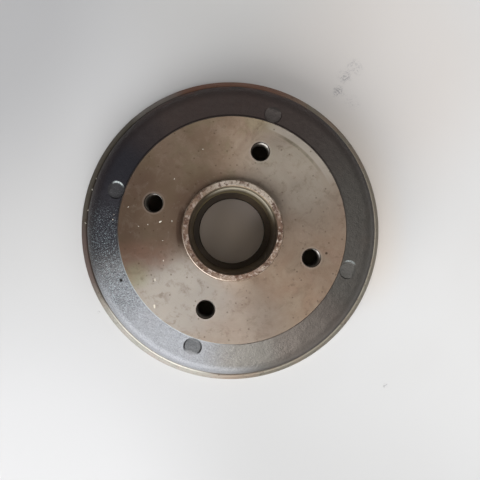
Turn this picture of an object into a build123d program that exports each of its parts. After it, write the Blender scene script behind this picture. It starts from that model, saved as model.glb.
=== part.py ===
"""Rear brake drum with an integral wheel hub, cast in grey iron and turned.

Frame: millimetres, +Z up along the drum's axis, origin at the centre of the open rim plane,
so the drum stands on its rim with the wheel face on top. The wheel bolts lie on the X and Y axes.
"""
from build123d import *
import math
import os

# ---- Driving dimensions, mm and degrees -------------------------------------------------------

# Friction drum and its open rim
friction_diameter = 180.25
friction_width = 28.5
mouth_chamfer = 1.5
wall_thickness = 5.6
flange_width = 9.5
flange_height = 10.0
flange_chamfer_width = 2.6
flange_chamfer_height = 2.2
flange_root_radius = 3.0
flange_edge_chamfer = 0.6
rim_land_width = 4.9
labyrinth_width = 4.6
labyrinth_depth = 4.0
labyrinth_root_radius = 0.8

# Cast shoulder between the wall and the wheel face
shoulder_height = 34.2
web_thickness = 9.0
cone_width = 26.7
cone_angle = 20.0
flank_angle = 16.0
flank_drop = 2.2
outer_shoulder_radius = 14.0
inner_shoulder_radius = 9.0
wall_blend_radius = 12.0

# Turned wheel face
face_step_width = 0.8
face_step_height = 1.2
face_blend_radius = 6.0

# Centring collar and bearing housing
collar_diameter = 60.1
collar_height = 4.5
collar_edge_chamfer = 0.5
collar_root_radius = 0.6
bearing_diameter = 52.0
bearing_width = 37.0
bearing_end_play = 0.05
bearing_lead_in = 0.5
bearing_corner_radius = 0.5
circlip_groove_diameter = 55.0
circlip_groove_width = 2.15
circlip_setback = 5.1
abutment_diameter = 44.0
abutment_thickness = 4.4
abutment_chamfer = 0.5
hub_wall = 8.0
hub_draft = 3.0
hub_end_chamfer = 1.0
hub_root_radius = 5.0

# Wheel bolts, M12 x 1.5, bored to the crest of the thread
bolt_count = 4
bolt_circle_diameter = 100.0
thread_diameter = 12.0
thread_pitch = 1.5
thread_mouth_chamfer = 0.6
boss_wall = 5.5
boss_height = 3.5
boss_draft = 5.0
boss_edge_radius = 1.0
boss_root_radius = 2.0

# Cast locating pockets in the cone, one beside each wheel bolt
pocket_floor_diameter = 10.2
pocket_depth = 4.4
pocket_draft = 12.0
pocket_face_margin = 0.15

STANDING = (Align.CENTER, Align.CENTER, Align.MIN)

# ---- Derived radii and heights ----------------------------------------------------------------

cone_slope = math.tan(math.radians(cone_angle))
flank_slope = math.tan(math.radians(flank_angle))

friction_radius = friction_diameter / 2
wall_radius = friction_radius + wall_thickness
rim_radius = wall_radius + flange_width
friction_top = mouth_chamfer + friction_width
wall_top = friction_top - flank_drop
drum_depth = wall_top + shoulder_height
labyrinth_inner_radius = friction_radius + mouth_chamfer + rim_land_width
labyrinth_outer_radius = labyrinth_inner_radius + labyrinth_width

face_radius = wall_radius - cone_width - face_step_width
cone_top = drum_depth - face_step_height
cone_inner_radius = face_radius + face_step_width
web_underside = drum_depth - web_thickness

collar_radius = collar_diameter / 2
collar_top = drum_depth + collar_height
bearing_radius = bearing_diameter / 2
groove_radius = circlip_groove_diameter / 2
groove_top = collar_top - circlip_setback
groove_bottom = groove_top - circlip_groove_width
abutment_top = groove_bottom - bearing_width - bearing_end_play
hub_end = abutment_top - abutment_thickness
abutment_radius = abutment_diameter / 2
hub_end_radius = bearing_radius + hub_wall
hub_root = hub_end_radius + (web_underside - hub_end) * math.tan(math.radians(hub_draft))

bolt_circle_radius = bolt_circle_diameter / 2
thread_crest_radius = thread_diameter / 2 - thread_pitch / 2
thread_mouth_radius = thread_crest_radius + thread_mouth_chamfer
boss_radius = thread_diameter / 2 + boss_wall
boss_end = web_underside - boss_height

pocket_floor_radius = pocket_floor_diameter / 2
pocket_floor = drum_depth - pocket_depth
pocket_mouth_radius = pocket_floor_radius + pocket_depth * math.tan(math.radians(pocket_draft))
pocket_circle_radius = face_radius + pocket_face_margin + pocket_mouth_radius


def cone_meets_flank(cone_height, flank_radius, flank_height):
    """Corner, in radius and height, where the falling cone meets the flank that rises inwards.

    The cone passes cone_height at the cone's inner radius. The flank passes the point given.
    """
    rise = cone_height - flank_height - cone_slope * (flank_radius - cone_inner_radius)
    climb = rise / (1 - cone_slope * flank_slope)
    return (flank_radius - climb * flank_slope, flank_height + climb)


def outside_line():
    """Outside of the drum, from the flange's lower corner up to the collar's bore."""
    shoulder = cone_meets_flank(cone_top, wall_radius, wall_top)
    return [
        ((rim_radius - flange_edge_chamfer, 0), 0),
        ((rim_radius, flange_edge_chamfer), 0),
        ((rim_radius, flange_height - flange_chamfer_height), 0),
        ((rim_radius - flange_chamfer_width, flange_height), 0),
        ((wall_radius, flange_height), flange_root_radius),
        ((wall_radius, wall_top), wall_blend_radius),
        (shoulder, outer_shoulder_radius),
        ((cone_inner_radius, cone_top), 0),
        ((face_radius, drum_depth), 0),
        ((collar_radius, drum_depth), collar_root_radius),
        ((collar_radius, collar_top - collar_edge_chamfer), 0),
        ((collar_radius - collar_edge_chamfer, collar_top), 0),
    ]


def bore_line():
    """Bearing housing, from the collar's mouth down to the hub's inner end."""
    return [
        ((bearing_radius + bearing_lead_in, collar_top), 0),
        ((bearing_radius, collar_top - bearing_lead_in), 0),
        ((bearing_radius, groove_top), 0),
        ((groove_radius, groove_top), 0),
        ((groove_radius, groove_bottom), 0),
        ((bearing_radius, groove_bottom), 0),
        ((bearing_radius, abutment_top), bearing_corner_radius),
        ((abutment_radius + abutment_chamfer, abutment_top), 0),
        ((abutment_radius, abutment_top - abutment_chamfer), 0),
        ((abutment_radius, hub_end + abutment_chamfer), 0),
        ((abutment_radius + abutment_chamfer, hub_end), 0),
    ]


def inside_line():
    """Inside of the drum, from the hub's end over the web to the friction track and the rim."""
    cone_underside = cone_top - web_thickness
    web_edge = cone_inner_radius - face_step_height / cone_slope
    corner = cone_meets_flank(cone_underside, friction_radius, friction_top)
    return [
        ((hub_end_radius - hub_end_chamfer, hub_end), 0),
        ((hub_end_radius, hub_end + hub_end_chamfer), 0),
        ((hub_root, web_underside), hub_root_radius),
        ((web_edge, web_underside), face_blend_radius),
        (corner, inner_shoulder_radius),
        ((friction_radius, friction_top), 0),
        ((friction_radius, mouth_chamfer), 0),
        ((friction_radius + mouth_chamfer, 0), 0),
        ((labyrinth_inner_radius, 0), 0),
        ((labyrinth_inner_radius, labyrinth_depth), labyrinth_root_radius),
        ((labyrinth_outer_radius, labyrinth_depth), labyrinth_root_radius),
        ((labyrinth_outer_radius, 0), 0),
    ]


def turned(corners):
    """Solid turned about the drum's axis from corners of ((radius, height), fillet radius)."""
    points = [(radius, 0, height) for (radius, height), _ in corners]
    fillets = [fillet_radius for _, fillet_radius in corners]
    outline = FilletPolyline(*points, radius=fillets, close=True)
    return revolve(make_face(outline), Axis.Z)


def turned_body():
    """The drum as it comes off the lathe."""
    return turned(outside_line() + bore_line() + inside_line())


def frustum(low_radius, high_radius, low, high):
    """Upright cone between two heights."""
    return Pos(0, 0, low) * Cone(low_radius, high_radius, high - low, align=STANDING)


def rod(radius, low, high):
    """Upright cylinder between two heights."""
    return Pos(0, 0, low) * Cylinder(radius, high - low, align=STANDING)


def bolt_boss():
    """Cast boss under the web that gives the wheel bolt its length of thread."""
    root = boss_radius + boss_height * math.tan(math.radians(boss_draft))
    skirt = root + 2 * boss_root_radius
    inside_web = web_underside + web_thickness / 2
    corners = [
        ((0, boss_end), 0),
        ((boss_radius, boss_end), boss_edge_radius),
        ((root, web_underside), boss_root_radius),
        ((skirt, web_underside), 0),
        ((skirt, inside_web), 0),
        ((0, inside_web), 0),
    ]
    return turned(corners)


def bolt_hole():
    """Threaded wheel bolt hole, through the web and its boss, with a countersunk mouth."""
    mouth_root = drum_depth - thread_mouth_chamfer
    bore = rod(thread_crest_radius, boss_end, drum_depth)
    mouth = frustum(thread_crest_radius, thread_mouth_radius, mouth_root, drum_depth)
    return bore + mouth


def pocket():
    """Flat-floored pocket with drafted sides."""
    return frustum(pocket_floor_radius, pocket_mouth_radius, pocket_floor, drum_depth)


def brake_drum():
    """The finished drum."""
    bolt_places = PolarLocations(bolt_circle_radius, bolt_count)
    pocket_places = PolarLocations(pocket_circle_radius, bolt_count)
    drum = turned_body() + [place * bolt_boss() for place in bolt_places]
    drum -= [place * bolt_hole() for place in bolt_places]
    drum -= [place * pocket() for place in pocket_places]
    return drum


os.makedirs("parts", exist_ok=True)
export_step(brake_drum(), "parts/brake_drum.step")
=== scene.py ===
"""Looks of the brake drum: turned and oiled faces, sandy casting skin, threads, rust and dust.

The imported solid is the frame. The drum is modelled again here at the same sizes, as one dense mesh
that stands for the CAD node. Lengths are millimetres until they meet Blender, angles are degrees.
"""
import math
import random

import bpy
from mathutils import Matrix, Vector, noise


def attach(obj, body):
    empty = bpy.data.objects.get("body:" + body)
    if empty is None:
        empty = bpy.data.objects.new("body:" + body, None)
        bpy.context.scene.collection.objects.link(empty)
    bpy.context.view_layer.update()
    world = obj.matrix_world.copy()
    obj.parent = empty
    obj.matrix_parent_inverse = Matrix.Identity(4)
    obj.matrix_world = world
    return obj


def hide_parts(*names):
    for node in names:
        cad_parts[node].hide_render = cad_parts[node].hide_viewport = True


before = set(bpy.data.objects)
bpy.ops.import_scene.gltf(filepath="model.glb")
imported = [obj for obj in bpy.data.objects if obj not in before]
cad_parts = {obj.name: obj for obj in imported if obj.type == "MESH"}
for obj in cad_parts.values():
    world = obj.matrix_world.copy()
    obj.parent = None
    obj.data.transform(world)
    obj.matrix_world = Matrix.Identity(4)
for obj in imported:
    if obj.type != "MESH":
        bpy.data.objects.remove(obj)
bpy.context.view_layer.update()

MM = 0.001

# ---- Sizes of the drum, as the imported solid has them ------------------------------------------

FRICTION_RADIUS = 90.125
FRICTION_TOP = 30.0
MOUTH_CHAMFER = 1.5
WALL_RADIUS = 95.725
WALL_TOP, WALL_BLEND = 27.8, 12.0
RIM_RADIUS = 105.225
FLANGE_HEIGHT = 10.0
FLANGE_CHAMFER = (2.6, 2.2)
FLANGE_EDGE = 0.6
FLANGE_ROOT = 3.0
GROOVE_INNER, GROOVE_OUTER, GROOVE_DEPTH, GROOVE_ROOT = 96.525, 101.125, 4.0, 0.8
DRUM_DEPTH = 62.0
WEB_THICKNESS = 9.0
FACE_RADIUS, FACE_BLEND = 68.225, 6.0
CONE_INNER, CONE_TOP = 69.025, 60.8
CONE_SLOPE = math.tan(math.radians(20))
FLANK_SLOPE = math.tan(math.radians(16))
OUTER_SHOULDER, INNER_SHOULDER = 14.0, 9.0
COLLAR_RADIUS, COLLAR_TOP, COLLAR_ROOT = 30.05, 66.5, 0.6
BEARING_RADIUS, ABUTMENT_TOP, SEAT_CORNER = 26.0, 22.2, 0.5
CIRCLIP_RADIUS, CIRCLIP_TOP, CIRCLIP_BOTTOM = 27.5, 61.4, 59.25
ABUTMENT_RADIUS, HUB_END = 22.0, 17.8
HUB_RADIUS, HUB_ROOT = 34.0, 35.84
HUB_END_CHAMFER, HUB_BLEND = 1.0, 5.0
SMALL_CHAMFER = 0.5

BOLT_COUNT = 4
BOLT_CIRCLE = 50.0
THREAD_CREST, THREAD_ROOT, THREAD_PITCH = 5.25, 6.0, 1.5
THREAD_MOUTH_CHAMFER = 0.6
BOSS_END, BOSS_RADIUS, BOSS_ROOT = 49.5, 11.5, 11.81
BOSS_EDGE, BOSS_BLEND = 1.0, 2.0
POCKET_CIRCLE = 74.41
POCKET_FLOOR, POCKET_FLOOR_RADIUS = 57.6, 5.1
POCKET_SLOPE = math.tan(math.radians(12))

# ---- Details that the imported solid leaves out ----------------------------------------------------

LIP_ROUND, FACE_ROUND, COLLAR_ROUND, BORE_ROUND = 0.4, 0.15, 0.2, 0.1
POCKET_CORNER = 0.5
SEAT_EDGE = (0.5, 0.75)
CREST_SHARE, THREAD_FLANK_SHARE = 0.25, 0.625

# ---- Mesh fineness -------------------------------------------------------------------------------

SEGMENTS = 448
BORE_SEGMENTS = 40
THREAD_ROWS = 7
ARC_STEP = math.radians(22.5)
ON_AXIS = 1e-6
BOSS_LIFT, BOSS_SINK, CUT_CLEARANCE = 0.05, 4.0, 1.0

# Regions of the surface, each with a material, and the space between the points of the section there.
SPACING = {"cast": 1.05, "core": 3.4, "face": 50.0, "bevel": 1.0, "collar": 2.0, "edge": 1.0, "bore": 12.0,
           "seat_end": 12.0, "lip": 2.4, "rim": 5.0, "track": 15.0}
REGIONS = ["cast", "core", "face", "bevel", "collar", "edge", "bore", "seat_end", "lip", "rim", "track",
           "thread", "dust"]
CASTING_SKIN = ("cast", "core")
CREASE = math.radians(28)

# ---- The camera's place over the drum ------------------------------------------------------------

VIEW_TURN = 19.15
VIEW_RIGHT = Vector((math.cos(math.radians(VIEW_TURN)), math.sin(math.radians(VIEW_TURN)), 0))
VIEW_UP = Vector((-VIEW_RIGHT.y, VIEW_RIGHT.x, 0))
CAMERA_RIGHT, CAMERA_UP, CAMERA_HEIGHT = -5.57, -2.37, 355.9
CAMERA_LEAN_RIGHT, CAMERA_LEAN_DOWN = 1.904, 0.638
LENS, SENSOR_WIDTH = 36.83, 36


def seen(right, up, height):
    """Place in metres of a point that lies so far right and up in the camera's view, at a height."""
    return (VIEW_RIGHT * right + VIEW_UP * up + Vector((0, 0, height))) * MM


def toward(view_azimuth, elevation, distance):
    """Place in metres at a distance in metres, at an azimuth counted anticlockwise from the view's right."""
    azimuth = math.radians(view_azimuth)
    flat = VIEW_RIGHT * math.cos(azimuth) + VIEW_UP * math.sin(azimuth)
    rise = math.radians(elevation)
    return (flat * math.cos(rise) + Vector((0, 0, math.sin(rise)))) * distance


# ---- Section and lathe ---------------------------------------------------------------------------

def meets_flank(cone_height, flank_radius, flank_height):
    """Corner of the falling cone and the flank that rises inwards from the point given."""
    rise = cone_height - flank_height - CONE_SLOPE * (flank_radius - CONE_INNER)
    climb = rise / (1 - CONE_SLOPE * FLANK_SLOPE)
    return flank_radius - climb * FLANK_SLOPE, flank_height + climb


def section():
    """Corners of the drum's section: radius, height, fillet radius and the region that starts there."""
    outer = meets_flank(CONE_TOP, WALL_RADIUS, WALL_TOP)
    inner = meets_flank(CONE_TOP - WEB_THICKNESS, FRICTION_RADIUS, FRICTION_TOP)
    web = DRUM_DEPTH - WEB_THICKNESS
    web_edge = CONE_INNER - (DRUM_DEPTH - CONE_TOP) / CONE_SLOPE
    chamfer_width, chamfer_height = FLANGE_CHAMFER
    edge_width, edge_height = SEAT_EDGE
    outside = [
        (RIM_RADIUS - FLANGE_EDGE, 0, 0, "lip"),
        (RIM_RADIUS, FLANGE_EDGE, 0, "lip"),
        (RIM_RADIUS, FLANGE_HEIGHT - chamfer_height, LIP_ROUND, "lip"),
        (RIM_RADIUS - chamfer_width, FLANGE_HEIGHT, LIP_ROUND, "lip"),
        (WALL_RADIUS, FLANGE_HEIGHT, FLANGE_ROOT, "cast"),
        (WALL_RADIUS, WALL_TOP, WALL_BLEND, "cast"),
        (*outer, OUTER_SHOULDER, "cast"),
        (CONE_INNER, CONE_TOP, 0, "bevel"),
        (FACE_RADIUS, DRUM_DEPTH, FACE_ROUND, "face"),
        (COLLAR_RADIUS, DRUM_DEPTH, COLLAR_ROOT, "collar"),
        (COLLAR_RADIUS, COLLAR_TOP - SMALL_CHAMFER, COLLAR_ROUND, "edge"),
        (COLLAR_RADIUS - SMALL_CHAMFER, COLLAR_TOP, COLLAR_ROUND, "collar"),
    ]
    bore = [
        (BEARING_RADIUS + SMALL_CHAMFER, COLLAR_TOP, BORE_ROUND, "edge"),
        (BEARING_RADIUS, COLLAR_TOP - SMALL_CHAMFER, BORE_ROUND, "bore"),
        (BEARING_RADIUS, CIRCLIP_TOP, BORE_ROUND, "bore"),
        (CIRCLIP_RADIUS, CIRCLIP_TOP, BORE_ROUND, "bore"),
        (CIRCLIP_RADIUS, CIRCLIP_BOTTOM, BORE_ROUND, "bore"),
        (BEARING_RADIUS + edge_width, CIRCLIP_BOTTOM, BORE_ROUND, "edge"),
        (BEARING_RADIUS, CIRCLIP_BOTTOM - edge_height, BORE_ROUND, "bore"),
        (BEARING_RADIUS, ABUTMENT_TOP, SEAT_CORNER, "seat_end"),
        (ABUTMENT_RADIUS + SMALL_CHAMFER, ABUTMENT_TOP, 0, "seat_end"),
        (ABUTMENT_RADIUS, ABUTMENT_TOP - SMALL_CHAMFER, 0, "seat_end"),
        (ABUTMENT_RADIUS, HUB_END + SMALL_CHAMFER, 0, "seat_end"),
        (ABUTMENT_RADIUS + SMALL_CHAMFER, HUB_END, 0, "rim"),
    ]
    inside = [
        (HUB_RADIUS - HUB_END_CHAMFER, HUB_END, 0, "core"),
        (HUB_RADIUS, HUB_END + HUB_END_CHAMFER, 0, "core"),
        (HUB_ROOT, web, HUB_BLEND, "core"),
        (web_edge, web, FACE_BLEND, "core"),
        (*inner, INNER_SHOULDER, "core"),
        (FRICTION_RADIUS, FRICTION_TOP, 0, "track"),
        (FRICTION_RADIUS, MOUTH_CHAMFER, 0, "track"),
        (FRICTION_RADIUS + MOUTH_CHAMFER, 0, 0, "rim"),
        (GROOVE_INNER, 0, 0, "rim"),
        (GROOVE_INNER, GROOVE_DEPTH, GROOVE_ROOT, "rim"),
        (GROOVE_OUTER, GROOVE_DEPTH, GROOVE_ROOT, "rim"),
        (GROOVE_OUTER, 0, 0, "rim"),
    ]
    return outside + bore + inside


def fillet_arc(before, here, after, radius, region):
    """Points of the arc that rounds a corner, from its first tangent point to its last."""
    back, on = (before - here).normalized(), (after - here).normalized()
    half = back.angle(on) / 2
    centre = here + (back + on).normalized() * radius / math.sin(half)
    start = here + back * radius / math.tan(half)
    turn = math.pi - 2 * half
    steps = max(math.ceil(turn / ARC_STEP), round(turn * radius / SPACING[region]), 2)
    arm = start - centre
    way = 1 if arm.x * on.y - arm.y * on.x > 0 else -1
    angles = [way * turn * i / steps for i in range(steps + 1)]
    return [centre + Vector((arm.x * math.cos(a) - arm.y * math.sin(a),
                             arm.x * math.sin(a) + arm.y * math.cos(a))) for a in angles]


def rounded_rows(corners, closed=True):
    """Points along a section with its fillets, each with the region of the strip that follows it."""
    places = [Vector(corner[:2]) for corner in corners]
    rows = []
    for i, (_, _, radius, region) in enumerate(corners):
        if radius:
            after = places[(i + 1) % len(places)]
            arc = fillet_arc(places[i - 1], places[i], after, radius, region)
        else:
            arc = [places[i]]
        rows += [(point, region) for point in arc]
    filled = []
    for i, (point, region) in enumerate(rows):
        after = rows[(i + 1) % len(rows)][0]
        last = not closed and i == len(rows) - 1
        steps = 1 if last else max(1, round((after - point).length / SPACING[region]))
        filled += [(point.lerp(after, step / steps), region) for step in range(steps)]
    return filled


def mesh_object(name, points, faces, regions):
    """Object from points in millimetres and faces, each with a region of its own."""
    mesh = bpy.data.meshes.new(name)
    mesh.from_pydata([tuple(Vector(p) * MM) for p in points], [], faces)
    mesh.polygons.foreach_set("material_index", [REGIONS.index(region) for region in regions])
    for region in REGIONS:
        mesh.materials.append(MATERIALS[region])
    thing = bpy.data.objects.new(name, mesh)
    bpy.context.scene.collection.objects.link(thing)
    return thing


def lathe(name, rows, segments, centre=(0, 0), capped=False):
    """Surface turned about an upright axis. A capped one starts and ends on the axis, as single points."""
    turns = [2 * math.pi * k / segments for k in range(segments)]
    points, faces, regions, rings = [], [], [], []
    for place, _ in rows:
        if capped and place.x < ON_AXIS:
            rings.append([len(points)] * segments)
            points.append((centre[0], centre[1], place.y))
        else:
            rings.append(list(range(len(points), len(points) + segments)))
            points += [(centre[0] + place.x * math.cos(a), centre[1] + place.x * math.sin(a), place.y)
                       for a in turns]
    last = len(rows) - 1 if capped else len(rows)
    for i in range(last):
        low, high = rings[i], rings[(i + 1) % len(rows)]
        for k in range(segments):
            after = (k + 1) % segments
            corners = (low[k], low[after], high[after], high[k])
            faces.append(tuple(dict.fromkeys(corners)))
            regions.append(rows[i][1])
    return mesh_object(name, points, faces, regions)


# ---- Holes, pockets and bosses -------------------------------------------------------------------

def on_circle(radius, count):
    """Places spaced evenly on a circle, the first on +X."""
    return [(radius * math.cos(2 * math.pi * k / count), radius * math.sin(2 * math.pi * k / count))
            for k in range(count)]


def thread_radius(phase, height):
    """Radius of an internal thread, with its countersunk mouth, at a phase of the helix from 0 to 1."""
    into_mouth = height - DRUM_DEPTH + THREAD_MOUTH_CHAMFER
    if into_mouth >= 0:
        return THREAD_CREST + into_mouth
    ridge = abs(phase % 1 - 0.5) * 2
    share = min(max((ridge - CREST_SHARE) / THREAD_FLANK_SHARE, 0), 1)
    return THREAD_CREST + (THREAD_ROOT - THREAD_CREST) * share


def thread_points(centre, low, rows):
    """Points of the screw, from the bottom to the top of each of its upright lines."""
    points = []
    for k in range(BORE_SEGMENTS):
        share = k / BORE_SEGMENTS
        angle = 2 * math.pi * share
        across, along = math.cos(angle), math.sin(angle)
        for j in range(rows + 1):
            phase = j / THREAD_ROWS
            height = low + (phase + share) * THREAD_PITCH
            radius = thread_radius(phase, height)
            points.append((centre[0] + radius * across, centre[1] + radius * along, height))
    return points


def thread_faces(rows):
    """Faces of the screw's wall, and the loops of points round its foot and its head."""

    def index(j, k):
        """Number of point j on line k. The line after the last is the first again, a pitch higher."""
        return (k % BORE_SEGMENTS) * (rows + 1) + j + (THREAD_ROWS if k == BORE_SEGMENTS else 0)

    wall = []
    for k in range(BORE_SEGMENTS):
        top = rows - THREAD_ROWS if k == BORE_SEGMENTS - 1 else rows
        wall += [(index(j, k), index(j, k + 1), index(j + 1, k + 1), index(j + 1, k)) for j in range(top)]
    foot = [index(0, k) for k in range(BORE_SEGMENTS)] + [index(j, 0) for j in range(THREAD_ROWS, 0, -1)]
    head = [index(rows, k) for k in range(BORE_SEGMENTS)]
    head += [index(rows - j, BORE_SEGMENTS - 1) for j in range(1, THREAD_ROWS + 1)]
    return wall, foot, head


def thread_cutter(centre):
    """Closed screw-shaped body whose rows follow the helix, so that the thread it cuts is smooth."""
    low, high = BOSS_END - THREAD_PITCH, DRUM_DEPTH + THREAD_PITCH
    rows = round((high - low) / THREAD_PITCH) * THREAD_ROWS
    points = thread_points(centre, low, rows)
    faces, foot, head = thread_faces(rows)
    for loop, height, upward in ((foot, low, False), (head, high + THREAD_PITCH, True)):
        middle = len(points)
        points.append((centre[0], centre[1], height))
        faces += [(a, b, middle) if upward else (b, a, middle) for a, b in zip(loop, loop[1:] + loop[:1])]
    return mesh_object("thread_cutter", points, faces, ["thread"] * len(faces))


def pocket_cutter(centre):
    """Drafted pocket with a fine floor, so that the casting skin shows on it."""
    top = DRUM_DEPTH + CUT_CLEARANCE
    mouth = POCKET_FLOOR_RADIUS + (top - POCKET_FLOOR) * POCKET_SLOPE
    rows = rounded_rows([
        (0, POCKET_FLOOR, 0, "cast"),
        (POCKET_FLOOR_RADIUS, POCKET_FLOOR, POCKET_CORNER, "cast"),
        (mouth, top, 0, "cast"),
        (0, top, 0, "cast"),
    ], closed=False)
    return lathe("pocket_cutter", rows, BORE_SEGMENTS, centre, capped=True)


def boss(centre):
    """Cast boss under the web round a bolt hole, with a skirt that sinks into the web."""
    web = DRUM_DEPTH - WEB_THICKNESS
    root, inside_web = web + BOSS_LIFT, web + BOSS_SINK
    skirt = BOSS_ROOT + 2 * BOSS_BLEND
    rows = rounded_rows([
        (0, BOSS_END, 0, "core"),
        (BOSS_RADIUS, BOSS_END, BOSS_EDGE, "core"),
        (BOSS_ROOT, root, BOSS_BLEND, "core"),
        (skirt, root, 0, "core"),
        (skirt, inside_web, 0, "core"),
        (0, inside_web, 0, "core"),
    ], closed=False)
    return lathe("boss", rows, BORE_SEGMENTS, centre, capped=True)


def joined(things, name):
    """One object holding the meshes of several."""
    points, faces, regions = [], [], []
    for thing in things:
        start = len(points)
        points += [vertex.co / MM for vertex in thing.data.vertices]
        faces += [tuple(start + v for v in polygon.vertices) for polygon in thing.data.polygons]
        regions += [REGIONS[polygon.material_index] for polygon in thing.data.polygons]
        bpy.data.objects.remove(thing)
    return mesh_object(name, points, faces, regions)


def combine(body, tool, operation):
    """Body with the tool joined to it or cut from it."""
    modifier = body.modifiers.new("combine", "BOOLEAN")
    modifier.operation = operation
    modifier.solver = "EXACT"
    modifier.object = tool
    result = bpy.data.meshes.new_from_object(body.evaluated_get(bpy.context.evaluated_depsgraph_get()))
    body.modifiers.clear()
    body.data = result
    bpy.data.objects.remove(tool)


# ---- Casting skin, creases and dirt --------------------------------------------------------------

SKIN_HEIGHT = 0.13
SKIN_SIZES = (7.0, 3.1)
FULL_WEIGHT = 100
FLECK_HEIGHT, FLECK_EDGE, FLECK_CORNERS, FLECK_RAGGED = 0.22, 0.04, 7, (0.75, 1.15)


def rough_skin(mesh):
    """Pushes the vertices that lie wholly in the casting skin in and out, as a sand mould leaves them."""
    skin = {REGIONS.index(region) for region in CASTING_SKIN}
    kept = set()
    for polygon in mesh.polygons:
        if polygon.material_index not in skin:
            kept.update(polygon.vertices)
    normals = [vertex.normal.copy() for vertex in mesh.vertices]
    for vertex, normal in zip(mesh.vertices, normals):
        if vertex.index not in kept:
            place = vertex.co / MM
            push = sum(noise.noise(place / size) / (1 + i) for i, size in enumerate(SKIN_SIZES))
            vertex.co += normal * push * SKIN_HEIGHT * MM


def crease(mesh):
    """Smooth shading that breaks at true edges."""
    corners = {}
    for polygon in mesh.polygons:
        for key in polygon.edge_keys:
            corners.setdefault(key, []).append(polygon.normal.copy())
    for edge in mesh.edges:
        pair = corners.get(edge.key, [])
        edge.use_edge_sharp = len(pair) != 2 or pair[0].angle(pair[1], 0) > CREASE
    mesh.polygons.foreach_set("use_smooth", [True] * len(mesh.polygons))


def flatten_normals(thing):
    """Keeps flat turned surfaces flat right up to their rounded edges."""
    modifier = thing.modifiers.new("flat faces", "WEIGHTED_NORMAL")
    modifier.keep_sharp = True
    modifier.weight = FULL_WEIGHT


# White flecks of dust and swarf: right, up, height, length and lie, seen in the camera's view.
FLECKS = [
    (-43.3, 5.2, DRUM_DEPTH, 2.3, 30), (-36.4, 5.6, DRUM_DEPTH, 1.2, 100),
    (-46.5, -29.3, DRUM_DEPTH, 1.9, 100), (-46.8, -45.3, DRUM_DEPTH, 3.2, 95),
    (-41.5, -17.9, DRUM_DEPTH, 1.3, 80), (-56.2, 2.5, DRUM_DEPTH, 0.9, 150),
    (-50.7, 3.7, DRUM_DEPTH, 0.9, 20), (-41.9, -5.9, DRUM_DEPTH, 0.9, 10),
    (-34.9, 30.8, DRUM_DEPTH, 1.0, 60), (-17.9, 48.5, DRUM_DEPTH, 1.0, 0),
    (-62.2, 14.0, DRUM_DEPTH, 0.9, 40), (-97.1, 28.9, FLANGE_HEIGHT, 1.5, 110),
    (-94.4, 36.6, FLANGE_HEIGHT, 1.1, 100), (-100.2, 14.5, FLANGE_HEIGHT, 1.1, 20),
    (-101.8, 5.5, FLANGE_HEIGHT, 1.5, 140), (-71.8, 6.6, 59.7, 1.2, 60), (-71.1, 9.6, 59.75, 0.9, 20),
]


def fleck(right, up, height, length, lie, draw):
    """Flat ragged chip lying on the drum: its points and faces."""
    middle = seen(right, up, height) / MM
    along = math.radians(lie + VIEW_TURN)
    ring = []
    for k in range(FLECK_CORNERS):
        angle = 2 * math.pi * k / FLECK_CORNERS
        reach = draw.uniform(*FLECK_RAGGED)
        a = math.cos(angle) * length / 2 * reach
        b = math.sin(angle) * length / 5 * reach
        ring.append(middle + Vector((a * math.cos(along) - b * math.sin(along),
                                     a * math.sin(along) + b * math.cos(along), FLECK_EDGE)))
    peak, root = Vector((0, 0, FLECK_HEIGHT)), Vector((0, 0, FLECK_HEIGHT / 2))
    points = ring + [middle + peak, middle - root]
    faces = []
    for k in range(FLECK_CORNERS):
        after = (k + 1) % FLECK_CORNERS
        faces += [(k, after, FLECK_CORNERS), (after, k, FLECK_CORNERS + 1)]
    return points, faces


def flecks():
    """All the chips as one object."""
    draw = random.Random(7)
    points, faces = [], []
    for place in FLECKS:
        chip_points, chip_faces = fleck(*place, draw)
        faces += [tuple(v + len(points) for v in face) for face in chip_faces]
        points += chip_points
    return mesh_object("flecks", points, faces, ["dust"] * len(faces))


def drum_casting():
    """The whole drum as one mesh."""
    drum = lathe("drum_casting", rounded_rows(section()), SEGMENTS)
    combine(drum, joined([boss(place) for place in on_circle(BOLT_CIRCLE, BOLT_COUNT)], "bosses"), "UNION")
    cutters = [thread_cutter(place) for place in on_circle(BOLT_CIRCLE, BOLT_COUNT)]
    cutters += [pocket_cutter(place) for place in on_circle(POCKET_CIRCLE, BOLT_COUNT)]
    combine(drum, joined(cutters, "cutters"), "DIFFERENCE")
    rough_skin(drum.data)
    drum.name = "drum_bare"
    whole = joined([drum, flecks()], "drum_casting")
    crease(whole.data)
    flatten_normals(whole)
    return whole


# ---- Materials -----------------------------------------------------------------------------------

QUARTER_TURN = 0.25
COAT_ROUGHNESS = 0.2
MIX_FIRST, MIX_SECOND, MIX_RESULT = 6, 7, 2


def tone(red, green, blue):
    """Linear colour from the 0 to 255 values that it should look like on a screen."""

    def linear(value):
        """One channel taken back through the screen's own curve."""
        share = value / 255
        return share / 12.92 if share <= 0.04045 else ((share + 0.055) / 1.055) ** 2.4

    return (linear(red), linear(green), linear(blue), 1)


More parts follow.
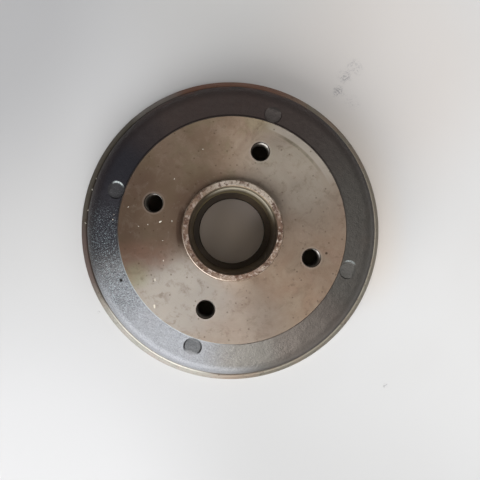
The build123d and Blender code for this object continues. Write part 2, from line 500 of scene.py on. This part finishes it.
class Finish:
    """Writer of one material: its methods add nodes, and give an output or lay it on the colour so far."""

    def __init__(self, name, metallic, roughness, anisotropic=0.0, coat=0.0, specular=0.5):
        """Starts a material whose grain, where it has one, runs round the drum's axis."""
        self.material = bpy.data.materials.new(name)
        self.material.use_nodes = True
        self.tree = self.material.node_tree
        self.colour = None
        self.shader = self.tree.nodes["Principled BSDF"]
        for socket, value in (("Metallic", metallic), ("Roughness", roughness), ("Coat Weight", coat),
                              ("Coat Roughness", COAT_ROUGHNESS), ("Specular IOR Level", specular),
                              ("Anisotropic", anisotropic), ("Anisotropic Rotation", QUARTER_TURN)):
            self.shader.inputs[socket].default_value = value
        self.place = self.node("ShaderNodeTexCoord").outputs["Object"]
        if anisotropic:
            tangent = self.node("ShaderNodeTangent", direction_type="RADIAL", axis="Z")
            self.link(self.shader.inputs["Tangent"], tangent.outputs[0])

    def node(self, kind, **settings):
        """Adds a node with its settings."""
        made = self.tree.nodes.new(kind)
        for key, value in settings.items():
            setattr(made, key, value)
        return made

    def link(self, socket, value):
        """Feeds a socket from an output, or sets it to a number, colour or vector."""
        if isinstance(value, bpy.types.NodeSocket):
            self.tree.links.new(value, socket)
        else:
            socket.default_value = value

    def set(self, socket, value):
        """Feeds one of the shader's own sockets."""
        self.link(self.shader.inputs[socket], value)

    def sums(self, operation, a, b=0.0):
        """Result of an operation on one or two values."""
        made = self.node("ShaderNodeMath", operation=operation)
        self.link(made.inputs[0], a)
        self.link(made.inputs[1], b)
        return made.outputs[0]

    def rest(self, share):
        """What a share leaves of 1."""
        return self.sums("SUBTRACT", 1, share)

    def times(self, first, *others):
        """Product of several values."""
        for other in others:
            first = self.sums("MULTIPLY", first, other)
        return first

    def vector(self, operation, a, b=(0, 0, 0), output=0):
        """Result of an operation on one or two vectors."""
        made = self.node("ShaderNodeVectorMath", operation=operation)
        self.link(made.inputs[0], a)
        self.link(made.inputs[1], tuple(b) if isinstance(b, Vector) else b)
        return made.outputs[output]

    def noise(self, size, detail=3.0, rough=0.55, place=None, distortion=0.0):
        """Noise from 0 to 1 whose lumps are about size millimetres across."""
        made = self.node("ShaderNodeTexNoise")
        self.link(made.inputs["Vector"], place or self.place)
        self.link(made.inputs["Scale"], 1 / (size * MM))
        self.link(made.inputs["Detail"], detail)
        self.link(made.inputs["Roughness"], rough)
        self.link(made.inputs["Distortion"], distortion)
        return made.outputs[0]

    def cells(self, size):
        """Distance to the nearest of scattered points about size millimetres apart, in shares of size."""
        made = self.node("ShaderNodeTexVoronoi")
        self.link(made.inputs["Vector"], self.place)
        self.link(made.inputs["Scale"], 1 / (size * MM))
        return made.outputs["Distance"]

    def step(self, value, low, high, out_low=0.0, out_high=1.0):
        """Value eased from one range to another."""
        made = self.node("ShaderNodeMapRange", interpolation_type="SMOOTHSTEP")
        for socket, number in zip(made.inputs, (value, low, high, out_low, out_high)):
            self.link(socket, number)
        return made.outputs[0]

    def mix(self, share, first, second, blend="MIX"):
        """Colour between two others, or one blended with another."""
        made = self.node("ShaderNodeMix", data_type="RGBA", blend_type=blend)
        self.link(made.inputs["Factor"], share)
        self.link(made.inputs[MIX_FIRST], first)
        self.link(made.inputs[MIX_SECOND], second)
        return made.outputs[MIX_RESULT]

    def wear(self, colour):
        """Makes a colour the shader's own."""
        self.colour = colour
        self.set("Base Color", colour)

    def blend(self, share, first, second):
        """Starts the colour between two tints."""
        self.wear(self.mix(share, tone(*first), tone(*second)))

    def paint(self, tint, strength, *shares):
        """Lays a tint or a colour over the one so far, by the strength times all the shares."""
        colour = tone(*tint) if isinstance(tint, tuple) else tint
        self.wear(self.mix(self.times(strength, *shares), self.colour, colour))

    def shade(self, strength, share, dark):
        """Multiplies the colour by a dark tint that clears as the share rises."""
        shade = self.mix(share, tone(*dark), tone(255, 255, 255))
        self.wear(self.mix(strength, self.colour, shade, "MULTIPLY"))

    def paint_sides(self, tints):
        """Paints tints: each has a colour, a strength and the side that it lies on."""
        for tint, strength, *where in tints:
            self.paint(tint, strength, self.side(*where))

    def paint_patches(self, patches, height):
        """Paints patches at a height: colour, strength, right, up, reach and ragged edge of each."""
        for tint, strength, right, up, reach, blur in patches:
            self.paint(tint, strength, self.near(seen(right, up, height), reach, blur))

    def outward(self, centre):
        """Offset in plan from an upright axis through a place."""
        return self.vector("MULTIPLY", self.vector("SUBTRACT", self.place, centre), (1, 1, 0))

    def radius(self, low, high, centre=(0, 0, 0)):
        """Eases from 0 to 1 between two distances in millimetres from an upright axis."""
        away = self.vector("LENGTH", self.outward(centre), output="Value")
        return self.step(away, low * MM, high * MM)

    def ring(self, radius, width, centre=(0, 0, 0)):
        """1 on a circle round an upright axis and 0 further than width millimetres from it."""
        away = self.vector("LENGTH", self.outward(centre), output="Value")
        off = self.sums("ABSOLUTE", self.sums("SUBTRACT", away, radius * MM))
        return self.step(off, 0.35 * width * MM, width * MM, 1.0, 0.0)

    def side(self, view_azimuth, width, core=0.0, centre=(0, 0, 0)):
        """1 up to core degrees from an azimuth round an upright axis, and 0 beyond width degrees."""
        turn = math.radians(view_azimuth + VIEW_TURN)
        unit = self.vector("NORMALIZE", self.outward(centre))
        share = self.vector("DOT_PRODUCT", unit, (math.cos(turn), math.sin(turn), 0), output="Value")
        return self.step(share, math.cos(math.radians(width)), math.cos(math.radians(core)))

    def along(self, view_azimuth, low, high):
        """Eases from 0 to 1 between two distances in millimetres toward an azimuth."""
        far = self.vector("DOT_PRODUCT", self.place, toward(view_azimuth, 0, 1), output="Value")
        return self.step(far, low * MM, high * MM)

    def height(self, low, high):
        """Eases from 0 to 1 between two heights in millimetres above the rim plane."""
        made = self.node("ShaderNodeSeparateXYZ")
        self.link(made.inputs[0], self.place)
        return self.step(made.outputs[2], low * MM, high * MM)

    def near(self, place, reach, blur=0.0):
        """1 at a place and 0 further off than reach millimetres, with a ragged edge."""
        edge = self.vector("DISTANCE", self.place, place, output="Value")
        if blur:
            wander = self.times(self.sums("SUBTRACT", self.noise(reach, 4), 0.5), blur * reach * MM)
            edge = self.sums("ADD", edge, wander)
        return self.step(edge, 0.3 * reach * MM, reach * MM, 1.0, 0.0)

    def rings(self, size, detail=2.0):
        """Noise that runs round the axis, as a lathe tool leaves it."""
        split = self.node("ShaderNodeSeparateXYZ")
        self.link(split.inputs[0], self.place)
        made = self.node("ShaderNodeCombineXYZ")
        self.link(made.inputs[0], self.vector("LENGTH", self.outward((0, 0, 0)), output="Value"))
        self.link(made.inputs[1], split.outputs[2])
        return self.noise(size, detail, place=made.outputs[0])

    def bump(self, height, depth):
        """Relief from 0 to depth millimetres on top of any relief before it."""
        made = self.node("ShaderNodeBump")
        self.link(made.inputs["Height"], height)
        self.link(made.inputs["Distance"], depth * MM)
        before = self.shader.inputs["Normal"]
        if before.is_linked:
            self.link(made.inputs["Normal"], before.links[0].from_socket)
        self.link(before, made.outputs[0])


# Painted light toward the lamps, painted shade on the sides away from them, and one warm tint.
# Each is a colour, a strength, and the azimuth, width and core of the side it lies on.
SKIN_LIGHT_SHADE_AND_TINT = [
    ((139, 145, 155), 0.48, 228, 46, 20), ((133, 129, 123), 0.45, 293, 36, 12),
    ((118, 96, 86), 0.25, 308, 24, 10), ((78, 72, 70), 0.3, 8, 62, 30), ((84, 60, 60), 0.55, 112, 98, 30),
    ((60, 58, 64), 0.5, 143, 24, 8), ((61, 61, 68), 0.9, 166, 34, 17),
]

# Bands of the skin, as the two radii or heights between which each eases in; most carry painted shade or
# highlight.
SHOULDER = (36, 42)
SHADED_BAND, HIGHLIGHT_BAND, FLANK_BAND, EDGE_BAND = (80, 87), (82.5, 86.5), (86.5, 89.5), (91, 92)
BEYOND_FOOT = (69.2, 70.2)

# Patches are a colour, a strength, right and up in the camera's view, reach and raggedness.
SKIN_CHIP = [((30, 26, 24), 1.0, -67.2, -29.9, 1.6, 0.5)]
SKIN_CHIP_HEIGHT = 59.3

# Glints at the foot or the lip of two pockets: the pocket's side of the drum, and the arc's radius,
# azimuth, spread and strength.
POCKET_GLINTS = [((-1, 0), 4.9, 68, 58, 1.0), ((1, 0), 5.9, 76, 46, 0.75)]

# Painted shade on the walls, on two sides of the pocket nearest the window: azimuth and spread.
POCKET_SHADES = [(160, 62), (345, 58)]


def skin_edges(finish, lit_side):
    """Lays painted shade and highlights where the skin turns down or meets the face, and rust. Gives the
    flank's share.
    """
    # Painted shade on the shoulder, away from the window.
    finish.paint((48, 36, 34), 0.6, finish.radius(*SHADED_BAND), finish.side(105, 120, 60))
    # Painted highlight on the shoulder, toward the window.
    finish.paint((198, 200, 206), 0.5, finish.radius(*HIGHLIGHT_BAND), lit_side)
    # Painted shade line low on the flank, toward the window.
    finish.paint((84, 76, 74), 0.8, finish.radius(*EDGE_BAND), finish.side(242, 58, 40))
    # Painted shade on the flank, except toward the window.
    flank = finish.times(finish.radius(*FLANK_BAND), finish.rest(lit_side))
    finish.paint((44, 36, 33), 0.95, flank)
    rusty = finish.step(finish.noise(11, 5, 0.65), 0.34, 0.62, 0.1, 1.0)
    finish.paint((96, 56, 44), 0.65, flank, finish.side(92, 46, 8), rusty)
    # Painted shade line in the crease beyond the bevel's foot, away from the window.
    foot = finish.rest(finish.radius(*BEYOND_FOOT))
    finish.paint((36, 30, 30), 0.75, foot, finish.side(105, 112, 45))
    return flank


def skin_grain(finish, grain, coarse_side, lit_top):
    """Paints dark pits and painted glints on the grains, strongest on the coarse side and faint on the lit
    top.
    """
    pits = finish.step(grain, 0.36, 0.47, 1.0, 0.0)
    finish.paint((66, 64, 66), 0.2, pits)
    finish.paint((46, 50, 56), 0.6, pits, coarse_side)
    # Painted glints on the grain.
    sparkle = finish.step(grain, 0.55, 0.65)
    finish.paint((158, 174, 178), 0.55, sparkle, coarse_side)
    finish.paint((196, 198, 202), 0.12, sparkle, *lit_top)
    finish.paint((92, 94, 104), 0.25, pits, *lit_top)


def pocket_marks(finish, grain):
    """Paints grey floors, painted glints and painted shade on the walls in the pockets. Gives the glints'
    share.
    """
    for x, y in on_circle(POCKET_CIRCLE, BOLT_COUNT):
        inside = finish.rest(finish.radius(4.9, 5.4, (x * MM, y * MM, 0)))
        finish.paint((84, 84, 82), 0.45, inside)
    shine = 0.0
    for (x, y), radius, azimuth, spread, strength in POCKET_GLINTS:
        centre = (x * POCKET_CIRCLE * MM, y * POCKET_CIRCLE * MM, 0)
        arc = finish.times(finish.ring(radius, 0.8, centre), finish.side(azimuth, spread, spread / 5, centre))
        shine = finish.sums("ADD", shine, finish.times(arc, strength))
    shine = finish.times(shine, finish.step(grain, 0.36, 0.54, 0.3, 1.0))
    finish.paint((220, 230, 230), 0.7, shine)
    # Painted shade on the walls of the pocket nearest the window.
    for azimuth, spread in POCKET_SHADES:
        centre = (0, -POCKET_CIRCLE * MM, 0)
        wall = finish.times(finish.ring(5.3, 0.7, centre), finish.side(azimuth, spread, spread / 3, centre))
        finish.paint((44, 43, 44), 0.9, wall)
    return shine


def cast_skin(name):
    """Sandy grey-iron skin, charcoal with a faint rust bloom, painted light by the window and painted shade
    away from it.
    """
    finish = Finish(name, metallic=0.9, roughness=0.5)
    lumps = finish.noise(2.6, 4, 0.6)
    grain = finish.noise(0.75, 2, 0.6)
    grit = finish.noise(1.7, 3, 0.7)
    shoulder = finish.height(*SHOULDER)
    # Side toward the window, where light is painted.
    lit_side = finish.side(238, 48, 24)
    coarse_side = finish.times(finish.side(194, 32, 8), shoulder)
    finish.blend(lumps, (98, 95, 90), (126, 122, 115))
    bloom = finish.step(finish.noise(24, 4, 0.6), 0.52, 0.72)
    finish.paint((120, 104, 94), 0.35, bloom)
    # Painted light and shade by side, and a warm tint.
    finish.paint_sides(SKIN_LIGHT_SHADE_AND_TINT)
    flank = skin_edges(finish, lit_side)
    skin_grain(finish, grain, coarse_side, (lit_side, shoulder))
    shine = pocket_marks(finish, grain)
    finish.paint_patches(SKIN_CHIP, SKIN_CHIP_HEIGHT)
    dull = finish.sums("MAXIMUM", flank, shine)
    finish.set("Metallic", finish.step(dull, 0, 1, 0.9, 0.15))
    rough = finish.step(lumps, 0.3, 0.7, 0.46, 0.56)
    finish.set("Roughness", finish.sums("ADD", rough, finish.times(flank, 0.32)))
    finish.bump(lumps, 0.2)
    finish.bump(grit, 0.2)
    finish.bump(finish.times(grain, finish.step(coarse_side, 0, 1, 0.4, 1.0)), 0.36)
    return finish.material


def inner_skin(name):
    """Rough iron inside the drum, dull with brake dust and old rust."""
    finish = Finish(name, metallic=0.6, roughness=0.62)
    lumps = finish.noise(3, 4, 0.6)
    grit = finish.noise(1.9, 3, 0.7)
    finish.blend(lumps, (92, 86, 80), (118, 111, 104))
    rust = finish.step(finish.noise(18, 5, 0.65), 0.48, 0.68)
    finish.paint((124, 86, 66), 0.5, rust)
    dust = finish.step(finish.noise(32, 4, 0.6), 0.45, 0.7)
    finish.paint((78, 72, 68), 0.5, dust)
    finish.set("Roughness", finish.step(rust, 0, 1, 0.58, 0.7))
    finish.bump(lumps, 0.2)
    finish.bump(grit, 0.2)
    return finish.material


FACE_PATCHES = [
    ((170, 162, 150), 0.7, 38, 34, 46, 0.8), ((188, 182, 174), 0.8, -34, -40, 44, 0.8),
    ((146, 140, 134), 0.5, 0, -62, 42, 0.6), ((124, 101, 86), 0.6, -52, 12, 44, 0.8),
]
YELLOW_PATCH = [((164, 170, 126), 0.35, -58, -27, 11, 0.6)]
DARK_SPECK = [((66, 50, 38), 0.9, 56.3, -13.6, 1.1, 0.5)]
# Reach of the collar's painted shadow, and radius and width of the painted shade line at its foot.
COLLAR_SHADOW_REACH, COLLAR_LINE = (32, 44), (32.4, 2.4)
DRY_RIM, DRY_LINE = (63.6, 64.8), (63.3, 1.2)
BOLT_WEAR = (6.3, 0.8)


def face_oil_and_shade(finish):
    """Paints brown oil stain and painted shade on the face away from the window, and the collar's painted
    shadow.
    """
    # Brown oil stain, darkened as painted shade, on the sides away from the window.
    finish.paint((112, 92, 74), 0.6, finish.side(143, 72, 30))
    finish.paint((92, 70, 60), 0.35, finish.side(168, 28, 14), finish.radius(50, 62))
    finish.paint((116, 96, 82), 0.4, finish.side(352, 34, 10))
    # Painted shadow of the collar on the face round it.
    collar_shadow = finish.rest(finish.radius(*COLLAR_SHADOW_REACH))
    finish.paint((104, 82, 68), 0.36, finish.side(106, 116, 80), collar_shadow)
    finish.paint((96, 74, 62), 0.4, finish.side(138, 34, 12), collar_shadow)
    # Painted shade line at the foot of the collar.
    finish.paint((78, 58, 48), 0.7, finish.ring(*COLLAR_LINE), finish.side(176, 24, 12))
    finish.paint_patches(YELLOW_PATCH, DRUM_DEPTH)
    red = finish.step(finish.noise(12, 4, 0.6), 0.3, 0.7, 0.1, 0.5)
    finish.paint((156, 116, 98), red, finish.side(197, 14), finish.radius(30, 48))


def face_mottle(finish):
    """Paints fine stains, a dry rim on one side and a dark line where it ends."""
    mottle = finish.noise(8, 6, 0.72, distortion=0.5)
    finish.paint((118, 98, 80), 0.3, finish.step(mottle, 0.5, 0.66))
    finish.paint((192, 176, 160), 0.12, finish.step(mottle, 0.48, 0.34))
    finish.paint((112, 92, 76), 0.45, finish.step(finish.noise(4.2, 5, 0.65), 0.55, 0.72))
    finish.paint((188, 178, 164), 0.28, finish.step(finish.noise(3.1, 5, 0.7), 0.6, 0.74))
    dry = finish.times(finish.radius(*DRY_RIM), finish.side(49, 26, 14))
    finish.paint((190, 181, 170), 0.6, dry)
    broken = finish.step(mottle, 0.3, 0.6, 0.4, 1.0)
    finish.paint((98, 93, 72), 0.55, finish.ring(*DRY_LINE), finish.side(50, 19, 6), broken)


def turned_face(name):
    """Wheel face, turned and stained brown by oil and light rust, with painted shade away from the window and
    by the collar.
    """
    finish = Finish(name, metallic=0.85, roughness=0.38, anisotropic=0.97)
    patches = finish.noise(22, 5, 0.6, distortion=0.6)
    finish.blend(finish.step(patches, 0.35, 0.65), (160, 136, 116), (178, 158, 138))
    olive = finish.step(finish.noise(15, 4, 0.6), 0.46, 0.62)
    finish.paint((154, 147, 116), 0.45, olive, finish.side(118, 95, 45))
    ruddy = finish.step(finish.noise(19, 4, 0.6, distortion=1.0), 0.53, 0.7)
    finish.paint((166, 128, 114), 0.22, ruddy)
    finish.paint_patches(FACE_PATCHES, DRUM_DEPTH)
    face_oil_and_shade(finish)
    face_mottle(finish)
    for x, y in on_circle(BOLT_CIRCLE, BOLT_COUNT):
        finish.paint((206, 194, 184), 0.15, finish.ring(*BOLT_WEAR, (x * MM, y * MM, 0)))
    specks = finish.step(finish.cells(4.4), 0.06, 0.17, 0.55, 0.0)
    finish.paint((88, 70, 55), 1.0, specks)
    finish.paint_patches(DARK_SPECK, DRUM_DEPTH)
    lines = finish.rings(0.35)
    finish.shade(0.35, lines, (200, 200, 200))
    finish.set("Roughness", finish.step(patches, 0.3, 0.7, 0.33, 0.42))
    finish.bump(lines, 0.012)
    finish.bump(specks, -0.05)
    return finish.material


def face_bevel(name):
    """Turned bevel round the wheel face, with a painted highlight on the window side."""
    finish = Finish(name, metallic=0.75, roughness=0.4)
    finish.blend(finish.noise(3, 3), (88, 77, 69), (112, 100, 90))
    # Painted highlight where the bevel faces the window.
    finish.paint((226, 234, 238), 0.68, finish.side(228, 50, 22))
    return finish.material


COLLAR_TINTS = [((102, 78, 66), 0.4, 205, 62, 30), ((206, 186, 168), 0.3, 262, 18, 5)]


def collar_rust(name):
    """Centring collar: bright turned land with rust pits and pale scale."""
    finish = Finish(name, metallic=0.6, roughness=0.5)
    patches = finish.noise(7, 4, 0.6)
    finish.blend(finish.side(72, 62, 28), (138, 115, 97), (184, 171, 156))
    finish.paint_sides(COLLAR_TINTS)
    chips = finish.step(finish.noise(4.5, 5, 0.65, distortion=0.6), 0.5, 0.58)
    finish.paint((206, 192, 182), 0.4, chips)
    rust = finish.step(finish.noise(2.8, 4, 0.65), 0.46, 0.56)
    rust = finish.times(rust, finish.step(patches, 0.38, 0.56, 0.15, 1.0))
    finish.paint((88, 62, 50), 0.85, rust)
    scale = finish.step(finish.noise(1.7, 4, 0.65), 0.54, 0.62)
    worn = finish.sums("MAXIMUM", finish.side(280, 70, 20), finish.side(15, 60, 20))
    scale = finish.times(scale, worn)
    finish.paint((216, 202, 188), 0.85, scale)
    finish.paint((100, 74, 62), 0.85, finish.side(14, 26, 10), finish.noise(3, 4, 0.6))
    finish.paint((112, 80, 66), 0.4, finish.side(284, 20, 6))
    pits = finish.step(finish.noise(0.9, 3, 0.6), 0.6, 0.68)
    finish.paint((66, 45, 36), 1.0, pits)
    finish.set("Roughness", finish.step(rust, 0, 1, 0.42, 0.7))
    finish.bump(rust, -0.05)
    finish.bump(scale, 0.05)
    finish.bump(pits, -0.08)
    return finish.material


def oiled_bore(name):
    """Bearing seat and its groove under brown oil; painted light where the wall faces the window, painted
    shade at one side.
    """
    finish = Finish(name, metallic=0.7, roughness=0.42, anisotropic=0.6, coat=0.4)
    smears = finish.noise(12, 4, 0.6, distortion=1.0)
    finish.blend(finish.step(smears, 0.35, 0.65), (104, 88, 68), (128, 112, 86))
    above_groove = finish.height(59, 60.5)
    # Painted light on the upper wall, where it faces the window.
    window_lit_wall = finish.times(finish.height(34, 57), finish.side(70, 64, 32))
    finish.paint((255, 248, 226), 1.0, window_lit_wall)
    # Painted highlight low on the wall, on the side toward the window.
    foot = finish.rest(finish.height(28, 42))
    finish.paint((206, 192, 146), 0.7, foot, finish.side(94, 84, 50))
    finish.paint((92, 78, 60), 0.9, above_groove)
    # Painted shade on a part of the wall that the lamps do not reach.
    finish.paint((60, 50, 46), 0.6, finish.side(338, 34, 14))
    lines = finish.rings(0.9)
    finish.shade(0.4, finish.step(lines, 0.4, 0.6), (176, 168, 140))
    finish.set("Metallic", finish.step(window_lit_wall, 0, 1, 0.7, 0.25))
    finish.set("Roughness", finish.step(smears, 0.3, 0.7, 0.38, 0.5))
    finish.bump(lines, 0.02)
    return finish.material


def bare_edge(name):
    """Narrow edges, browner where oil lies on them; a painted highlight faces the window and painted shade
    lies elsewhere.
    """
    finish = Finish(name, metallic=0.8, roughness=0.4)
    wear = finish.step(finish.noise(3, 3), 0.35, 0.65)
    finish.blend(wear, (128, 110, 92), (172, 160, 138))
    outer = finish.radius(28, 29)
    # Painted highlight on the collar's outer edge, toward the window.
    finish.paint((240, 228, 214), 0.85, outer, finish.side(224, 52, 22))
    inner = finish.rest(finish.radius(27, 28))
    finish.paint((124, 108, 88), 0.85, inner)
    # Painted shade on the inner edges, except where they face the window.
    finish.paint((80, 63, 51), 0.9, inner, finish.side(268, 128, 92))
    return finish.material


def dark_seat_end(name):
    """Abutment at the foot of the bearing seat, black with old grease."""
    finish = Finish(name, metallic=0.6, roughness=0.45, anisotropic=0.3)
    smears = finish.noise(10, 4, 0.6, distortion=1.0)
    finish.blend(smears, (58, 47, 38), (84, 72, 57))
    finish.paint((32, 25, 19), 0.7, finish.side(140, 80, 50))
    return finish.material


LIP_TINTS = [
    ((96, 91, 81), 0.9, 150, 62, 22), ((138, 96, 79), 0.8, 92, 36, 8), ((120, 98, 96), 0.55, 192, 18, 7),
    ((142, 136, 130), 0.8, 121, 13, 4),
]


def flange_lip(name):
    """Turned flange: olive on the left, red rust at the back, painted light toward the window and painted
    shade at its root.
    """
    finish = Finish(name, metallic=0.8, roughness=0.42, anisotropic=0.5)
    patches = finish.noise(20, 4, 0.55, distortion=0.4)
    finish.blend(finish.step(patches, 0.4, 0.6), (138, 130, 117), (150, 133, 118))
    finish.paint_sides(LIP_TINTS)
    # Painted light on the window side.
    window_side_light = finish.mix(patches, tone(154, 160, 150), tone(168, 158, 156))
    finish.paint(window_side_light, 0.75, finish.side(236, 38, 14))
    finish.paint((150, 147, 134), 0.45, finish.side(318, 46, 20))
    # Painted shade at the flange's root except toward the window, where a painted highlight line lies.
    bright = finish.side(236, 30, 10)
    root = finish.rest(finish.radius(101.2, 102))
    dark = finish.times(root, finish.rest(bright))
    finish.paint((40, 33, 29), 0.75, dark)
    # Painted highlight line toward the window.
    finish.paint((252, 250, 238), 0.6, bright, finish.ring(101.5, 0.6))
    spots = finish.step(finish.noise(1.8, 4, 0.65), 0.56, 0.7, 0.0, 0.6)
    finish.paint((86, 68, 56), 1.0, spots)
    lines = finish.rings(0.4)
    finish.set("Roughness", finish.step(patches, 0.3, 0.7, 0.36, 0.5))
    finish.bump(lines, 0.012)
    finish.bump(spots, -0.04)
    return finish.material


def turned_rim(name):
    """Open rim and its groove, turned and lightly rusted."""
    finish = Finish(name, metallic=0.8, roughness=0.45, anisotropic=0.4)
    rust = finish.step(finish.noise(14, 5, 0.65), 0.42, 0.62)
    finish.blend(rust, (150, 142, 132), (138, 102, 80))
    finish.set("Roughness", finish.step(rust, 0, 1, 0.4, 0.6))
    finish.bump(finish.rings(0.5), 0.015)
    return finish.material


def friction_track(name):
    """Finely turned friction track with a breath of rust."""
    finish = Finish(name, metallic=0.95, roughness=0.3, anisotropic=0.7)
    rust = finish.step(finish.noise(16, 5, 0.65), 0.55, 0.72, 0.0, 0.6)
    finish.blend(rust, (176, 174, 170), (150, 112, 86))
    lines = finish.rings(0.25)
    finish.shade(0.5, lines, (190, 190, 190))
    finish.set("Roughness", finish.step(rust, 0, 0.6, 0.28, 0.55))
    finish.bump(lines, 0.012)
    return finish.material


def tapped_thread(name):
    """Thread, lighter near the mouth and darker below, with a painted highlight and a countersink in painted
    shade.
    """
    finish = Finish(name, metallic=0.6, roughness=0.35, coat=0.4)
    finish.blend(finish.noise(2, 3), (60, 54, 48), (104, 98, 92))
    near_mouth = finish.height(54, 60)
    finish.paint((118, 108, 98), 0.7, near_mouth)
    for x, y in on_circle(BOLT_CIRCLE, BOLT_COUNT):
        centre = (x * MM, y * MM, 0)
        own = finish.rest(finish.radius(7, 9, centre))
        # Painted highlight on the wall of each hole that faces the window.
        lit = finish.side(48, 60, 16, centre)
        finish.paint((222, 217, 210), 0.8, near_mouth, own, lit)
    # Painted shade in the countersinks.
    finish.paint((38, 31, 26), 0.9, finish.height(61.35, 61.6))
    return finish.material


def pale_dust(name):
    """Chalky dust."""
    finish = Finish(name, metallic=0.0, roughness=0.9)
    finish.blend(finish.noise(0.8, 2), (214, 204, 184), (244, 240, 230))
    return finish.material


# Scuffs on the table: right, up, reach in millimetres and strength, seen in the camera's view.
TABLE_SCUFFS = [(78.5, 102, 6, 0.8), (82, 112, 7, 0.6), (90, 120, 8, 0.4), (88, 94, 7, 0.25),
                (113.2, -113.3, 2.4, 0.7), (-95.5, -58.2, 1.5, 0.5)]
# Painted light and shade on the table: colour, strength, right, up, reach and raggedness.
TABLE_LIGHT_AND_SHADE = [
    ((226, 226, 227), 0.9, -150, -190, 190, 0), ((174, 174, 176), 0.8, -205, 172, 232, 0),
    ((176, 175, 172), 0.35, 10, 195, 130, 0), ((232, 223, 216), 0.5, 112, 118, 120, 0),
]


def table_top(name):
    """Pale table with faint scuffs, and painted light and shade: greyer in one corner, warm beside and lit
    under the drum.
    """
    finish = Finish(name, metallic=0.0, roughness=0.75, specular=0.2)
    clouds = finish.step(finish.noise(180, 3, 0.5), 0.3, 0.7)
    finish.blend(clouds, (229, 228, 227), (234, 234, 234))
    # Painted shade toward the window side of the table.
    far = finish.along(60, -200, 60)
    finish.paint((206, 206, 206), 1.0, finish.rest(far))
    finish.paint_patches(TABLE_LIGHT_AND_SHADE, 0)
    # Painted warm bounce light beside the drum.
    warm_bounce = finish.rest(finish.radius(106, 135))
    finish.paint((238, 230, 222), 1.0, warm_bounce, finish.side(14, 48, 18))
    # Painted light through the bore, on the table under the drum.
    under = finish.rest(finish.radius(75, 88))
    through = finish.mix(finish.along(165, -14, 14), tone(252, 236, 224), tone(194, 179, 166))
    finish.paint(through, 1.0, under)
    strokes = finish.step(finish.noise(4.5, 4, 0.7, distortion=2.5), 0.48, 0.64, 0.06, 1.0)
    for right, up, reach, strength in TABLE_SCUFFS:
        near = finish.near(seen(right, up, 0), reach, 0.8)
        finish.paint((150, 146, 150), strength, near, strokes)
    scuffs = finish.step(finish.noise(14, 5, 0.7, distortion=2.0), 0.7, 0.78, 0.0, 0.35)
    finish.paint((204, 198, 196), scuffs)
    return finish.material


MAKERS = {"cast": cast_skin, "core": inner_skin, "face": turned_face, "bevel": face_bevel,
          "collar": collar_rust, "edge": bare_edge, "bore": oiled_bore, "seat_end": dark_seat_end,
          "lip": flange_lip, "rim": turned_rim, "track": friction_track, "thread": tapped_thread,
          "dust": pale_dust}
MATERIALS = {region: MAKERS[region](region) for region in REGIONS}


# ---- Stage ---------------------------------------------------------------------------------------

FLOOR_REACH = 4.0
WINDOW = {"azimuth": 243, "elevation": 34, "distance": 1.5, "width": 1.75, "height": 1.6, "power": 30}
CEILING = {"azimuth": 322, "elevation": 66, "distance": 1.8, "width": 1.8, "height": 0.9, "power": 9.5}
AMBIENT_TOP, AMBIENT_LOW, AMBIENT_RISE = 0.27, 0.2, 0.6


def floor():
    """Plain pale table under the drum."""
    mesh = bpy.data.meshes.new("table")
    reach = FLOOR_REACH
    corners = [(-reach, -reach, 0), (reach, -reach, 0), (reach, reach, 0), (-reach, reach, 0)]
    mesh.from_pydata(corners, [], [(0, 1, 2, 3)])
    mesh.materials.append(table_top("table_top"))
    thing = bpy.data.objects.new("table", mesh)
    bpy.context.scene.collection.objects.link(thing)


def aimed(thing, place, target):
    """Puts a lamp or camera at a place, looking at a target."""
    thing.location = place
    thing.rotation_euler = (target - place).to_track_quat("-Z", "Y").to_euler()
    bpy.context.scene.collection.objects.link(thing)


def soft_light(name, size):
    """Large soft light that looks at the drum."""
    lamp = bpy.data.lights.new(name, "AREA")
    lamp.shape = "RECTANGLE"
    lamp.size, lamp.size_y = size["width"], size["height"]
    lamp.energy = size["power"]
    place = toward(size["azimuth"], size["elevation"], size["distance"])
    aimed(bpy.data.objects.new(name, lamp), place, Vector((0, 0, 0)))


def room_light():
    """Even white room light, a little stronger from above than from the horizon."""
    world = bpy.data.worlds.new("room")
    bpy.context.scene.world = world
    world.use_nodes = True
    nodes, links = world.node_tree.nodes, world.node_tree.links
    direction = nodes.new("ShaderNodeTexCoord")
    split = nodes.new("ShaderNodeSeparateXYZ")
    fade = nodes.new("ShaderNodeMapRange")
    fade.interpolation_type = "SMOOTHSTEP"
    links.new(direction.outputs["Generated"], split.inputs[0])
    links.new(split.outputs[2], fade.inputs[0])
    for socket, value in zip(fade.inputs[1:5], (0.0, AMBIENT_RISE, AMBIENT_LOW, AMBIENT_TOP)):
        socket.default_value = value
    links.new(fade.outputs[0], nodes["Background"].inputs["Strength"])
    nodes["Background"].inputs["Color"].default_value = (1, 1, 1, 1)


def camera():
    """Camera over the drum, nearly square to the wheel face."""
    lens = bpy.data.cameras.new("camera")
    lens.lens = LENS
    lens.sensor_width = SENSOR_WIDTH
    thing = bpy.data.objects.new("camera", lens)
    bpy.context.scene.collection.objects.link(thing)
    forward = (Vector((0, 0, -1)) + VIEW_RIGHT * math.tan(math.radians(CAMERA_LEAN_RIGHT))
               - VIEW_UP * math.tan(math.radians(CAMERA_LEAN_DOWN))).normalized()
    right = (VIEW_RIGHT - forward * VIEW_RIGHT.dot(forward)).normalized()
    up = right.cross(forward)
    thing.location = seen(CAMERA_RIGHT, CAMERA_UP, CAMERA_HEIGHT)
    basis = thing.matrix_world.to_3x3()
    basis.col[0], basis.col[1], basis.col[2] = right, up, -forward
    thing.rotation_euler = basis.to_euler()
    bpy.context.scene.camera = thing


bpy.context.scene.view_settings.view_transform = "Standard"
camera()
floor()
soft_light("window", WINDOW)
soft_light("ceiling", CEILING)
room_light()
casting = drum_casting()
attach(casting, "root")
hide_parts("brake_drum")
